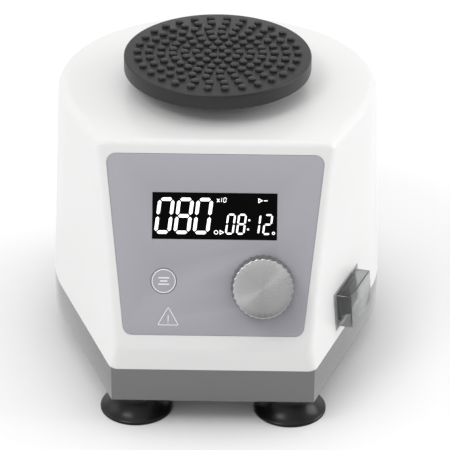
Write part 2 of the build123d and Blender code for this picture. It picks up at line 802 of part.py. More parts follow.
with BuildPart() as post_nuts:
    with BuildSketch(Plane.XY.offset(CARRIER_TOP)):
        with Locations(*corners(POST_AT)):
            RegularPolygon(5.0, 6, major_radius=False)
            Circle(POST_R, mode=Mode.SUBTRACT)
    extrude(amount=4.0)
write(post_nuts, "post_nuts")

with BuildPart() as carriage_springs:
    with BuildSketch(Plane.XY.offset(SPRING_LOW)):
        with Locations(*corners(POST_AT)):
            Circle(SPRING_R)
            Circle(POST_R + 0.8, mode=Mode.SUBTRACT)
    extrude(amount=CARRIER_LOW - SPRING_LOW)
write(carriage_springs, "carriage_springs")

with BuildPart() as carrier_plate:
    with BuildSketch(Plane.XY.offset(CARRIER_LOW)):
        RectangleRounded(66, 66, 7)
        Circle(BEARING_R + 1.5, mode=Mode.SUBTRACT)
        with Locations(*corners(POST_AT)):
            Circle(POST_R + RUNNING, mode=Mode.SUBTRACT)
        with PolarLocations(MOTOR_SCREW_AT, 4):
            Circle(1.6, mode=Mode.SUBTRACT)
    extrude(amount=CARRIER_TOP - CARRIER_LOW)
write(carrier_plate, "carrier_plate")

with BuildPart() as touch_switch:
    with BuildSketch(Plane.XY.offset(BALLAST_TOP)):
        with Locations((0, TOUCH_Y)):
            Rectangle(16, 7)
    extrude(amount=TOUCH_BRACKET_TOP - BALLAST_TOP)
    with BuildSketch(Plane.XY.offset(TOUCH_BRACKET_TOP)):
        with Locations((0, TOUCH_Y)):
            Rectangle(12.8, 5.8)
    extrude(amount=TOUCH_BODY_H)
    # Button that the carrier reaches at the end of its travel
    button_low = TOUCH_BRACKET_TOP + TOUCH_BODY_H
    extrude(
        discs_at(button_low, 1.2, ((2.5, TOUCH_Y),)),
        amount=CARRIER_LOW - PRESS - button_low - RUNNING,
    )
write(touch_switch, "touch_switch")

LOW_BEARING_Z = MOTOR_LOW + 2

with BuildPart() as motor_can:
    add(ring(MOTOR_LOW, BELL_LOW, MOTOR_R, CAN_INNER_R).part)
    add(ring(MOTOR_LOW, MOTOR_LOW + 2, MOTOR_R, MOTOR_SHAFT_R + 1.5).part)
    add(ring(LOW_BEARING_Z, LOW_BEARING_Z + BEARING_H, BEARING_R + 2, BEARING_R).part)
write(motor_can, "motor_can")

with BuildPart() as motor_end_bell:
    add(ring(BELL_LOW, CARRIER_LOW, MOTOR_R, BEARING_R).part)
    with BuildSketch(Plane.XY.offset(BELL_LOW)):
        with PolarLocations(MOTOR_SCREW_AT, 4):
            Circle(MOTOR_SCREW_R)
    extrude(amount=CARRIER_LOW - BELL_LOW, mode=Mode.SUBTRACT)
write(motor_end_bell, "motor_end_bell")

write(ring(*MOTOR_CORE, CAN_INNER_R, MAGNET_R + 0.5), "motor_stator")
write(
    ring(LOW_BEARING_Z, LOW_BEARING_Z + BEARING_H, BEARING_R, MOTOR_SHAFT_R + RUNNING),
    "motor_bearing_lower",
)
write(ring(BELL_LOW, CARRIER_LOW, BEARING_R, MOTOR_SHAFT_R + RUNNING), "motor_bearing_upper")

with BuildPart() as motor_screws:
    with BuildSketch(Plane.XY.offset(CARRIER_TOP)):
        with PolarLocations(MOTOR_SCREW_AT, 4):
            Circle(2.7)
    extrude(amount=2.0)
    with BuildSketch(Plane.XY.offset(BELL_LOW + 0.5)):
        with PolarLocations(MOTOR_SCREW_AT, 4):
            Circle(MOTOR_SCREW_R)
    extrude(amount=CARRIER_TOP - BELL_LOW - 0.5)
write(motor_screws, "motor_screws")

# ---------------------------------------------------------------- rotor
write(ring(MOTOR_LOW + 1, SHAFT_END_Z, MOTOR_SHAFT_R, 0), "motor_shaft")
write(ring(*MOTOR_CORE, MAGNET_R, MOTOR_SHAFT_R), "motor_magnet")


def set_screw_disc(x):
    """Section of the hub's threaded side hole."""
    with BuildSketch(Plane.YZ.offset(x)) as disc:
        with Locations((0, HUB_LOW + 4)):
            Circle(SET_SCREW_R)
    return disc.sketch


with BuildPart() as eccentric_hub:
    add(ring(HUB_LOW, HUB_TOP, HUB_R, 0).part)
    add(ring(HUB_TOP, PIN_TOP, PIN_R, 0, AXLE).part)
    extrude(discs_at(HUB_LOW, MOTOR_SHAFT_R), amount=SHAFT_END_Z - HUB_LOW, mode=Mode.SUBTRACT)
    extrude(set_screw_disc(0), amount=HUB_R + 1, mode=Mode.SUBTRACT)
write(eccentric_hub, "eccentric_hub")

with BuildPart() as hub_set_screw:
    extrude(set_screw_disc(MOTOR_SHAFT_R), amount=5.5)
write(hub_set_screw, "hub_set_screw")

with BuildPart() as counterweight:
    with BuildSketch(Plane.XY.offset(WEIGHT_LOW)):
        Circle(WEIGHT_R)
        with Locations((0, -WEIGHT_R)):
            Rectangle(2 * WEIGHT_R, 2 * WEIGHT_R, mode=Mode.SUBTRACT)
        Circle(HUB_R + 2.0)
        Circle(HUB_R, mode=Mode.SUBTRACT)
    extrude(amount=WEIGHT_H)
write(counterweight, "counterweight")

# ---------------------------------------------------------------- platform
BEARING_LOW = 93.0
BEARING_HIGH = BEARING_LOW + PLATE_BEARING_H + 1.5

write(
    ring(BEARING_LOW, BEARING_LOW + PLATE_BEARING_H, PLATE_BEARING_R, PIN_R + RUNNING, AXLE),
    "platform_bearing_lower",
)
write(
    ring(BEARING_HIGH, BEARING_HIGH + PLATE_BEARING_H, PLATE_BEARING_R, PIN_R + RUNNING, AXLE),
    "platform_bearing_upper",
)

with BuildPart() as platform_hub:
    add(ring(BEARING_LOW, PIN_TOP + 1, PLATE_BEARING_R + 1.5, PLATE_BEARING_R, AXLE).part)
    add(ring(PIN_TOP + 1, PIN_TOP + 3, PLATE_BEARING_R + 1.5, 2.0, AXLE).part)
    add(ring(PIN_TOP + 3, PLATE_BOTTOM, NECK_R, 2.0, AXLE).part)
    add(ring(BEARING_LOW + PLATE_BEARING_H, BEARING_HIGH, PLATE_BEARING_R, 9.0, AXLE).part)
write(platform_hub, "platform_hub")

with BuildPart() as platform_disc:
    add(ring(PLATE_BOTTOM, PLATE_TOP - PLATE_SKIN, PLATE_R - 2.0, 2.1, AXLE).part)
    extrude(
        discs_at(PLATE_TOP - PLATE_SKIN - 1.6, 4.2, (AXLE,)), amount=3, mode=Mode.SUBTRACT
    )
write(platform_disc, "platform_disc")

with BuildPart() as platform_screw:
    add(ring(PLATE_BOTTOM - 8, PLATE_TOP - PLATE_SKIN - 1.6, 2.0, 0, AXLE).part)
    add(ring(PLATE_TOP - PLATE_SKIN - 1.6, PLATE_TOP - PLATE_SKIN, 4.0, 0, AXLE).part)
write(platform_screw, "platform_screw")

with BuildPart() as platform_pad:
    add(ring(PLATE_BOTTOM, PLATE_TOP, PLATE_R, 0, AXLE).part)
    fillet(platform_pad.edges().sort_by(Axis.Z)[-1], 0.8)
    extrude(
        discs_at(PLATE_BOTTOM, PLATE_R - 2.0, (AXLE,)),
        amount=PLATE_TOP - PLATE_SKIN - PLATE_BOTTOM,
        mode=Mode.SUBTRACT,
    )
    with BuildSketch(Plane.XY.offset(PLATE_TOP)):
        with Locations(AXLE):
            for ring_number, stud_count in enumerate(STUD_RINGS):
                with PolarLocations(STUD_FIRST_R + ring_number * STUD_PITCH, stud_count):
                    Circle(STUD_R)
    extrude(amount=STUD_HEIGHT, taper=8)
write(platform_pad, "platform_pad")

# The boot keeps the platform from turning and seals the roof's hole.
with BuildPart() as neck_boot:
    extrude(discs_at(ROOF_SEAT_Z, ROOF_SEAT_R - 0.5), amount=BOOT_FLANGE)
    boot_top = PLATE_BOTTOM - 1
    loft(
        [
            discs_at(ROOF_SEAT_Z + BOOT_FLANGE, ROOF_HOLE_R + 0.5),
            discs_at(boot_top, NECK_R + 1.6, (AXLE,)),
        ],
        ruled=True,
    )
    loft(
        [
            discs_at(ROOF_SEAT_Z, ROOF_HOLE_R - 1.5),
            discs_at(boot_top, NECK_R + 0.1, (AXLE,)),
        ],
        ruled=True,
        mode=Mode.SUBTRACT,
    )
write(neck_boot, "neck_boot")
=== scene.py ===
import bpy
import json
import math
from mathutils import Matrix, Vector


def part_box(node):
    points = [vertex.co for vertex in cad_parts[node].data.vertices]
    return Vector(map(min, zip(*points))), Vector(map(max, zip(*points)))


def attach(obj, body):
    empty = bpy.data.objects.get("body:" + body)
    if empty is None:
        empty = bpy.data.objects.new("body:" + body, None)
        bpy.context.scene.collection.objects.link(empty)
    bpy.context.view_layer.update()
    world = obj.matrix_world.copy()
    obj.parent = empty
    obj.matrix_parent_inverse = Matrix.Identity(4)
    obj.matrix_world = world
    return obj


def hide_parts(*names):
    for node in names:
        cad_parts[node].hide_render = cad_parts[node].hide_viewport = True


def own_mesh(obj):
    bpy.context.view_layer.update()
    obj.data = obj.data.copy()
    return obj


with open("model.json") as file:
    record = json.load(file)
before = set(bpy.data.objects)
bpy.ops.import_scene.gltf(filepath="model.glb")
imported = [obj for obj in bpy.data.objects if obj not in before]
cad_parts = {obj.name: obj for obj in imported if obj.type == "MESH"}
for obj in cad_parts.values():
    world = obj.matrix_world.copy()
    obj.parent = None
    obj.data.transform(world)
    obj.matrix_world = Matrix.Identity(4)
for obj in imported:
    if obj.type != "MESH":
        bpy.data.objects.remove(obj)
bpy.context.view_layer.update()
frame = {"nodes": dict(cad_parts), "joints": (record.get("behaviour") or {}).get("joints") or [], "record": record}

# Bench vortex mixer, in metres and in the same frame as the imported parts.
# Sizes are written in millimetres and multiplied by MM where a mesh is made.
MM = 0.001
scene = bpy.context.scene
nodes = frame["nodes"]
joints = {joint["name"]: joint for joint in frame["joints"]}


# ---------------------------------------------------------------- places
def low(node):
    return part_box(node)[0]


def high(node):
    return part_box(node)[1]


AXIS_Y = joints["shaft_spin"]["pos_m"][1]
PANEL_OUT = Vector(joints["knob_turn"]["axis"])
PANEL_RIGHT = Vector((1, 0, 0))
PANEL_UP = PANEL_OUT.cross(PANEL_RIGHT)
LIP_TOP = 35.4 * MM
FRONT_Y = -86.5 * MM + AXIS_Y
WALL_UP = Vector(joints["rocker_tilt"]["axis"])
WALL_ALONG = WALL_UP.cross(Vector((0, 0, 1))).normalized()
WALL_OUT = WALL_ALONG.cross(WALL_UP)


def place(along, up, out, origin):
    """A matrix that lays a piece drawn flat at the origin onto a face."""
    turn = Matrix((along, up, out)).transposed().to_4x4()
    return Matrix.Translation(origin) @ turn


PANEL = place(PANEL_RIGHT, PANEL_UP, PANEL_OUT, Vector((0, FRONT_Y, LIP_TOP)))
PIVOT_DEPTH = 1.2 * MM
WALL_FACE = place(
    WALL_ALONG,
    WALL_UP,
    WALL_OUT,
    Vector(joints["rocker_tilt"]["pos_m"]) + WALL_OUT * PIVOT_DEPTH,
)
AXIS = Matrix.Translation((0, AXIS_Y, 0))
KNOB = (19.2, 25.7)
MODE = (-19.7, 27.3)


def on_panel(u, v, n=0.0):
    """Where a point of the panel's layout is, in millimetres along it, up it and out of it."""
    return PANEL @ Matrix.Translation((u * MM, v * MM, n * MM))


# ---------------------------------------------------------------- working with meshes
def pick(piece, editing=False):
    """Leave one piece selected and active."""
    if bpy.context.mode != "OBJECT":
        bpy.ops.object.mode_set(mode="OBJECT")
    bpy.ops.object.select_all(action="DESELECT")
    piece.select_set(True)
    bpy.context.view_layer.objects.active = piece
    if editing:
        bpy.ops.object.mode_set(mode="EDIT")
        bpy.ops.mesh.select_all(action="SELECT")


def done():
    bpy.ops.object.mode_set(mode="OBJECT")


def smooth(piece, degrees=32):
    pick(piece)
    bpy.ops.object.shade_smooth_by_angle(angle=math.radians(degrees))


def bevelled(piece, width, steps=2, degrees=30):
    """Round a piece's sharp edges."""
    pick(piece)
    rounding = piece.modifiers.new("rounding", "BEVEL")
    rounding.width = width * MM
    rounding.segments = steps
    rounding.limit_method = "ANGLE"
    rounding.angle_limit = math.radians(degrees)
    rounding.harden_normals = False
    bpy.ops.object.modifier_apply(modifier="rounding")


def from_cad(node, width=0.0, flat=False):
    """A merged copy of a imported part, with its edges broken."""
    piece = nodes[node].copy()
    piece.data = nodes[node].data.copy()
    piece.parent = None
    for key in list(piece.keys()):
        del piece[key]
    scene.collection.objects.link(piece)
    piece.hide_render = False
    pick(piece)
    bpy.ops.mesh.customdata_custom_splitnormals_clear()
    pick(piece, editing=True)
    bpy.ops.mesh.remove_doubles(threshold=1e-6)
    if flat or width:
        bpy.ops.mesh.dissolve_limited(angle_limit=math.radians(0.6))
    done()
    if width:
        bevelled(piece, width)
    smooth(piece)
    return piece


def turned(profile, steps=96):
    """A round piece drawn up from its first ring, each ring given as radius and height."""
    first, *rest = profile
    bpy.ops.object.select_all(action="DESELECT")
    bpy.ops.mesh.primitive_circle_add(
        vertices=steps, radius=first[0] * MM, fill_type="NGON", location=(0, 0, first[1] * MM)
    )
    piece = bpy.context.object
    bpy.ops.object.transform_apply(location=True, rotation=True, scale=True)
    bpy.ops.object.mode_set(mode="EDIT")
    bpy.ops.mesh.select_all(action="SELECT")
    bpy.ops.mesh.region_to_loop()
    before = first
    for ring in rest:
        bpy.ops.mesh.extrude_edges_move(
            TRANSFORM_OT_translate={"value": (0, 0, (ring[1] - before[1]) * MM)}
        )
        grow = ring[0] / before[0]
        bpy.ops.transform.resize(value=(grow, grow, 1), center_override=(0, 0, ring[1] * MM))
        before = ring
    bpy.ops.mesh.edge_face_add()
    bpy.ops.mesh.select_all(action="SELECT")
    bpy.ops.mesh.normals_make_consistent(inside=False)
    done()
    return piece


def slab(width, height, thick, round_by=0.0, steps=4):
    """A flat plate standing on the ground plane, with rounded corners."""
    bpy.ops.object.select_all(action="DESELECT")
    bpy.ops.mesh.primitive_plane_add(size=1)
    piece = bpy.context.object
    piece.scale = (width * MM, height * MM, 1)
    bpy.ops.object.transform_apply(location=True, rotation=True, scale=True)
    if round_by:
        bpy.ops.object.mode_set(mode="EDIT")
        bpy.ops.mesh.select_all(action="SELECT")
        bpy.ops.mesh.bevel(offset=round_by * MM, segments=steps, affect="VERTICES")
        done()
    thicken(piece, thick)
    return piece


def thicken(piece, thick):
    """Raise a flat sheet into a plate."""
    pick(piece, editing=True)
    bpy.ops.mesh.extrude_region_move(TRANSFORM_OT_translate={"value": (0, 0, thick * MM)})
    bpy.ops.mesh.select_all(action="SELECT")
    bpy.ops.mesh.normals_make_consistent(inside=False)
    done()


def joined(pieces):
    """Make several meshes one piece."""
    pick(pieces[0])
    for piece in pieces:
        piece.select_set(True)
    bpy.ops.object.join()
    return bpy.context.object


def copies(pattern, places):
    """One copy of a mesh at each place, as one piece."""
    made = []
    for spot in places:
        piece = pattern.copy()
        piece.data = pattern.data.copy()
        scene.collection.objects.link(piece)
        piece.matrix_world = spot @ pattern.matrix_world
        made.append(piece)
    bpy.data.objects.remove(pattern)
    return joined(made)


def settle(piece, name, body, paint, stands_for=(), where=None):
    """Put a finished piece in place, name it and give it its body and finish."""
    if where is not None:
        piece.matrix_world = where @ piece.matrix_world
    pick(piece)
    bpy.ops.object.transform_apply(location=True, rotation=True, scale=True)
    piece.name = name
    piece.data.name = name
    if paint is not None:
        piece.data.materials.clear()
        piece.data.materials.append(paint)
    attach(piece, body)
    if stands_for:
        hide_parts(*stands_for)
    return piece


# ---------------------------------------------------------------- shared effects
def new_group(name, takes, gives):
    group = bpy.data.node_groups.new(name, "ShaderNodeTree")
    for label, kind, start in takes:
        socket = group.interface.new_socket(label, in_out="INPUT", socket_type=kind)
        socket.default_value = start
    for label, kind in gives:
        group.interface.new_socket(label, in_out="OUTPUT", socket_type=kind)
    return group, group.nodes, group.links


def maths(tree, operation, a, b=None, clamp=False):
    """A maths node on sockets or plain numbers."""
    node = tree.nodes.new("ShaderNodeMath")
    node.operation = operation
    node.use_clamp = clamp
    for socket, value in zip(node.inputs, (a, b)):
        if value is None:
            continue
        if isinstance(value, (int, float)):
            socket.default_value = value
        else:
            tree.links.new(value, socket)
    return node.outputs[0]


def noise(tree, where, scale, detail=2.0, rough=0.5):
    node = tree.nodes.new("ShaderNodeTexNoise")
    node.inputs["Detail"].default_value = detail
    node.inputs["Roughness"].default_value = rough
    tree.links.new(where, node.inputs["Vector"])
    if isinstance(scale, (int, float)):
        node.inputs["Scale"].default_value = scale
    else:
        tree.links.new(scale, node.inputs["Scale"])
    return node.outputs["Fac"]


def build_grain():
    """Fine texture for bumps and a slow mottling for colour and gloss."""
    group, group_nodes, links = new_group(
        "paint_grain",
        (("Grain Scale", "NodeSocketFloat", 900.0), ("Cloud Scale", "NodeSocketFloat", 30.0)),
        (("Grain", "NodeSocketFloat"), ("Cloud", "NodeSocketFloat")),
    )
    start = group_nodes.new("NodeGroupInput")
    end = group_nodes.new("NodeGroupOutput")
    where = group_nodes.new("ShaderNodeTexCoord").outputs["Object"]
    links.new(noise(group, where, start.outputs["Grain Scale"], 3.0, 0.6), end.inputs["Grain"])
    links.new(noise(group, where, start.outputs["Cloud Scale"], 4.0, 0.55), end.inputs["Cloud"])
    return group


def build_wear():
    """A broken mask along edges, where handling polishes or rubs a finish."""
    group, group_nodes, links = new_group(
        "edge_wear",
        (("Reach", "NodeSocketFloat", 0.0004), ("Patch Scale", "NodeSocketFloat", 220.0)),
        (("Wear", "NodeSocketFloat"),),
    )
    start = group_nodes.new("NodeGroupInput")
    end = group_nodes.new("NodeGroupOutput")
    where = group_nodes.new("ShaderNodeTexCoord").outputs["Object"]
    round_edge = group_nodes.new("ShaderNodeBevel")
    round_edge.samples = 4
    links.new(start.outputs["Reach"], round_edge.inputs["Radius"])
    face = group_nodes.new("ShaderNodeNewGeometry").outputs["Normal"]
    facing = group_nodes.new("ShaderNodeVectorMath")
    facing.operation = "DOT_PRODUCT"
    links.new(round_edge.outputs[0], facing.inputs[0])
    links.new(face, facing.inputs[1])
    bent = maths(group, "SUBTRACT", 1.0, facing.outputs["Value"], clamp=True)
    edge = maths(group, "MULTIPLY", bent, 6.0, clamp=True)
    patch = noise(group, where, start.outputs["Patch Scale"], 4.0, 0.6)
    worn = maths(group, "GREATER_THAN", patch, 0.47)
    soft = maths(group, "MULTIPLY", worn, patch)
    links.new(maths(group, "MULTIPLY", edge, soft, clamp=True), end.inputs["Wear"])
    return group


def build_dust():
    """A thin uneven dust mask on faces that look up."""
    group, group_nodes, links = new_group(
        "settled_dust",
        (("Dust Scale", "NodeSocketFloat", 260.0),),
        (("Dust", "NodeSocketFloat"),),
    )
    start = group_nodes.new("NodeGroupInput")
    end = group_nodes.new("NodeGroupOutput")
    where = group_nodes.new("ShaderNodeTexCoord").outputs["Object"]
    face = group_nodes.new("ShaderNodeNewGeometry").outputs["Normal"]
    split = group_nodes.new("ShaderNodeSeparateXYZ")
    links.new(face, split.inputs[0])
    level = maths(group, "POWER", maths(group, "MAXIMUM", split.outputs["Z"], 0.0), 3.0)
    speck = noise(group, where, start.outputs["Dust Scale"], 6.0, 0.7)
    links.new(maths(group, "MULTIPLY", level, speck, clamp=True), end.inputs["Dust"])
    return group


GRAIN = build_grain()
WEAR = build_wear()
DUST = build_dust()


# ---------------------------------------------------------------- finishes
def use(tree, group, **values):
    """Place a shared effect in a material with its own values."""
    node = tree.nodes.new("ShaderNodeGroup")
    node.node_tree = group
    for label, value in values.items():
        node.inputs[label.replace("_", " ")].default_value = value
    return node


def mixed(tree, amount, first, second):
    """Blend two colours by a mask that changes over the surface."""
    node = tree.nodes.new("ShaderNodeMix")
    node.data_type = "RGBA"
    tree.links.new(amount, node.inputs["Factor"])
    for socket, value in ((node.inputs[6], first), (node.inputs[7], second)):
        if isinstance(value, tuple):
            socket.default_value = (*value, 1.0)
        else:
            tree.links.new(value, socket)
    return node.outputs[2]


def spread(tree, mask, start, end, low_value=0.3, high_value=0.7):
    """Turn a mask into a value between two limits."""
    node = tree.nodes.new("ShaderNodeMapRange")
    for label, value in (
        ("From Min", low_value),
        ("From Max", high_value),
        ("To Min", start),
        ("To Max", end),
    ):
        node.inputs[label].default_value = value
    tree.links.new(mask, node.inputs["Value"])
    return node.outputs["Result"]


def shade(colour, amount):
    return tuple(channel * amount for channel in colour)


def new_finish(name):
    paint = bpy.data.materials.new(name)
    paint.use_nodes = True
    return paint, paint.node_tree, paint.node_tree.nodes["Principled BSDF"]


def raise_bump(tree, shader, height, depth, strength=1.0):
    bump = tree.nodes.new("ShaderNodeBump")
    bump.inputs["Strength"].default_value = strength
    bump.inputs["Distance"].default_value = depth * MM
    tree.links.new(height, bump.inputs["Height"])
    tree.links.new(bump.outputs["Normal"], shader.inputs["Normal"])


def finish(
    name, colour, rough, metal=0.0, grain=900.0, depth=0.01, cloud=30.0, mottle=0.96,
    worn=None, reach=0.25, dust=0.0, coat=0.0, sheen=0.0, gloss_change=0.06, specular=0.5,
):
    """A painted, moulded or machined surface with grain, mottling, worn edges and dust."""
    paint, tree, shader = new_finish(name)
    effect = use(tree, GRAIN, Grain_Scale=grain, Cloud_Scale=cloud)
    tone = mixed(tree, effect.outputs["Cloud"], shade(colour, mottle), colour)
    rough_value = spread(tree, effect.outputs["Cloud"], rough + gloss_change, rough - gloss_change)
    if worn is not None:
        edge = use(tree, WEAR, Reach=reach * MM)
        tone = mixed(tree, edge.outputs["Wear"], tone, worn)
    if dust:
        film = use(tree, DUST)
        amount = maths(tree, "MULTIPLY", film.outputs["Dust"], dust)
        tone = mixed(tree, amount, tone, (0.62, 0.6, 0.57))
        rough_value = maths(tree, "ADD", rough_value, amount, clamp=True)
    tree.links.new(tone, shader.inputs["Base Color"])
    tree.links.new(rough_value, shader.inputs["Roughness"])
    shader.inputs["Metallic"].default_value = metal
    shader.inputs["Coat Weight"].default_value = coat
    shader.inputs["Sheen Weight"].default_value = sheen
    shader.inputs["Specular IOR Level"].default_value = specular
    raise_bump(tree, shader, effect.outputs["Grain"], depth)
    return paint


def metal_turned(name, colour, rough, centre, axis, anisotropy=0.85):
    """Metal turned on a lathe, its marks running in rings about an axis."""
    paint, tree, shader = new_finish(name)
    effect = use(tree, GRAIN, Grain_Scale=1500.0, Cloud_Scale=60.0)
    where = tree.nodes.new("ShaderNodeTexCoord").outputs["Object"]
    arm = tree.nodes.new("ShaderNodeVectorMath")
    arm.operation = "SUBTRACT"
    arm.inputs[1].default_value = centre
    tree.links.new(where, arm.inputs[0])
    around = tree.nodes.new("ShaderNodeVectorMath")
    around.operation = "CROSS_PRODUCT"
    around.inputs[0].default_value = axis
    tree.links.new(arm.outputs[0], around.inputs[1])
    to_world = tree.nodes.new("ShaderNodeVectorTransform")
    to_world.vector_type = "VECTOR"
    to_world.convert_from = "OBJECT"
    to_world.convert_to = "WORLD"
    tree.links.new(around.outputs[0], to_world.inputs[0])
    tree.links.new(to_world.outputs[0], shader.inputs["Tangent"])
    away = tree.nodes.new("ShaderNodeVectorMath")
    away.operation = "LENGTH"
    tree.links.new(around.outputs[0], away.inputs[0])
    rings = maths(tree, "SINE", maths(tree, "MULTIPLY", away.outputs["Value"], 22000.0))
    marks = spread(tree, rings, 0.0, 1.0, -1.0, 1.0)
    tone = mixed(tree, marks, shade(colour, 0.93), colour)
    tree.links.new(tone, shader.inputs["Base Color"])
    tree.links.new(
        spread(tree, effect.outputs["Cloud"], rough + 0.04, rough - 0.04),
        shader.inputs["Roughness"],
    )
    shader.inputs["Metallic"].default_value = 1.0
    shader.inputs["Anisotropic"].default_value = anisotropy
    raise_bump(tree, shader, effect.outputs["Grain"], 0.0006)
    return paint


def clear_plastic(name, tint, rough):
    """Clear moulding with faint haze and handling marks."""
    paint, tree, shader = new_finish(name)
    effect = use(tree, GRAIN, Grain_Scale=400.0, Cloud_Scale=120.0)
    tone = mixed(tree, effect.outputs["Cloud"], shade(tint, 0.95), tint)
    tree.links.new(tone, shader.inputs["Base Color"])
    tree.links.new(
        spread(tree, effect.outputs["Cloud"], rough, rough + 0.08), shader.inputs["Roughness"]
    )
    shader.inputs["Transmission Weight"].default_value = 1.0
    shader.inputs["IOR"].default_value = 1.47
    raise_bump(tree, shader, effect.outputs["Grain"], 0.004)
    return paint


def banded(name, colour, second, rough, direction, scale, metal=0.0, depth=0.03):
    """Stacked layers, wound wire or printed lines, as bands along one direction."""
    paint, tree, shader = new_finish(name)
    where = tree.nodes.new("ShaderNodeTexCoord").outputs["Object"]
    bands = tree.nodes.new("ShaderNodeTexWave")
    bands.bands_direction = direction
    bands.inputs["Scale"].default_value = scale
    bands.inputs["Distortion"].default_value = 0.4
    tree.links.new(where, bands.inputs["Vector"])
    effect = use(tree, GRAIN, Grain_Scale=1200.0, Cloud_Scale=90.0)
    tone = mixed(tree, bands.outputs["Fac"], colour, second)
    tone = mixed(tree, maths(tree, "MULTIPLY", effect.outputs["Cloud"], 0.3), tone, shade(colour, 0.6))
    tree.links.new(tone, shader.inputs["Base Color"])
    tree.links.new(
        spread(tree, effect.outputs["Cloud"], rough + 0.08, rough - 0.05),
        shader.inputs["Roughness"],
    )
    shader.inputs["Metallic"].default_value = metal
    height = maths(tree, "ADD", bands.outputs["Fac"], effect.outputs["Grain"])
    raise_bump(tree, shader, height, depth)
    return paint


def board_finish(name):
    """Green solder mask with copper tracks showing through and small tinned pads."""
    paint, tree, shader = new_finish(name)
    where = tree.nodes.new("ShaderNodeTexCoord").outputs["Object"]
    tracks = tree.nodes.new("ShaderNodeTexVoronoi")
    tracks.feature = "DISTANCE_TO_EDGE"
    tracks.inputs["Scale"].default_value = 170.0
    tree.links.new(where, tracks.inputs["Vector"])
    pads = tree.nodes.new("ShaderNodeTexVoronoi")
    pads.inputs["Scale"].default_value = 330.0
    pads.inputs["Randomness"].default_value = 0.25
    tree.links.new(where, pads.inputs["Vector"])
    track = maths(tree, "LESS_THAN", tracks.outputs["Distance"], 0.06)
    pad = maths(tree, "LESS_THAN", pads.outputs["Distance"], 0.16)
    effect = use(tree, GRAIN, Grain_Scale=1600.0, Cloud_Scale=80.0)
    tone = mixed(tree, effect.outputs["Cloud"], (0.008, 0.085, 0.03), (0.015, 0.13, 0.05))
    tone = mixed(tree, track, tone, (0.04, 0.2, 0.07))
    tone = mixed(tree, pad, tone, (0.62, 0.6, 0.55))
    tree.links.new(tone, shader.inputs["Base Color"])
    tree.links.new(spread(tree, pad, 0.34, 0.22, 0.0, 1.0), shader.inputs["Roughness"])
    tree.links.new(maths(tree, "MULTIPLY", pad, 0.9), shader.inputs["Metallic"])
    raise_bump(tree, shader, maths(tree, "ADD", track, pad), 0.03)
    return paint


def lit_finish(name, colour, glow):
    """Lit segments behind the display, with a little unevenness in the light."""
    paint, tree, shader = new_finish(name)
    effect = use(tree, GRAIN, Grain_Scale=800.0, Cloud_Scale=400.0)
    tone = mixed(tree, effect.outputs["Cloud"], shade(colour, 0.9), colour)
    tree.links.new(tone, shader.inputs["Base Color"])
    tree.links.new(tone, shader.inputs["Emission Color"])
    shader.inputs["Emission Strength"].default_value = glow
    tree.links.new(spread(tree, effect.outputs["Cloud"], 0.4, 0.3), shader.inputs["Roughness"])
    return paint


KNOB_AT = on_panel(*KNOB, 13.2).translation
STEEL_GREY = (0.6, 0.6, 0.61)

white_paint = finish(
    "white_paint", (0.78, 0.78, 0.775), 0.36, grain=1400.0, depth=0.006, mottle=0.985,
    worn=(0.84, 0.84, 0.83), dust=0.03, coat=0.25,
)
grey_paint = finish(
    "grey_paint", (0.118, 0.118, 0.119), 0.24, grain=1400.0, depth=0.004, mottle=0.97,
    worn=(0.13, 0.13, 0.13), dust=0.005, coat=1.0, gloss_change=0.01,
)
black_rubber = finish(
    "black_rubber", (0.004, 0.004, 0.004), 0.3, grain=700.0, depth=0.012, mottle=0.8,
    worn=(0.012, 0.012, 0.012), reach=0.5, dust=0.005, specular=0.3,
)
mat_rubber = finish(
    "mat_rubber", (0.0145, 0.0145, 0.015), 0.4, grain=1800.0, depth=0.02, mottle=0.82,
    worn=(0.045, 0.045, 0.045), reach=0.25, dust=0.03, specular=0.42,
)
panel_film = finish(
    "panel_film", (0.375, 0.37, 0.405), 0.6, grain=2600.0, depth=0.008, mottle=0.97,
    worn=(0.42, 0.42, 0.45), reach=0.1,
)
print_white = finish("print_white", (0.97, 0.97, 0.97), 0.5, grain=2400.0, depth=0.004, mottle=0.94)
display_black = finish(
    "display_black", (0.002, 0.002, 0.0022), 0.2, grain=1200.0, depth=0.001, mottle=0.6,
    gloss_change=0.04, specular=0.04,
)
moulded_black = finish(
    "moulded_black", (0.022, 0.022, 0.023), 0.38, grain=1600.0, depth=0.015, mottle=0.8,
    worn=(0.07, 0.07, 0.07), reach=0.2, dust=0.04,
)
zinc_plate = finish(
    "zinc_plate", STEEL_GREY, 0.32, metal=1.0, grain=1500.0, depth=0.006, cloud=180.0,
    mottle=0.8, worn=(0.78, 0.78, 0.78),
)
plain_steel = finish(
    "plain_steel", (0.52, 0.52, 0.53), 0.24, metal=1.0, grain=2200.0, depth=0.004,
    cloud=120.0, mottle=0.85, worn=(0.7, 0.7, 0.7),
)
spring_wire = finish(
    "spring_wire", (0.36, 0.35, 0.35), 0.3, metal=1.0, grain=1800.0, depth=0.006,
    cloud=200.0, mottle=0.75,
)
tinned_brass = finish(
    "tinned_brass", (0.62, 0.52, 0.3), 0.3, metal=1.0, grain=1500.0, depth=0.004,
    cloud=260.0, mottle=0.8, worn=(0.8, 0.66, 0.34),
)
black_oxide = finish(
    "black_oxide", (0.06, 0.06, 0.062), 0.5, metal=0.7, grain=600.0, depth=0.05,
    cloud=90.0, mottle=0.65, worn=(0.3, 0.3, 0.3), reach=0.4,
)
machined_aluminium = finish(
    "machined_aluminium", (0.72, 0.72, 0.73), 0.33, metal=1.0, grain=1300.0, depth=0.008,
    cloud=80.0, mottle=0.88, worn=(0.86, 0.86, 0.86),
)
motor_black = finish(
    "motor_black", (0.035, 0.035, 0.038), 0.35, metal=0.3, grain=900.0, depth=0.015,
    cloud=100.0, mottle=0.8, worn=(0.3, 0.3, 0.3),
)
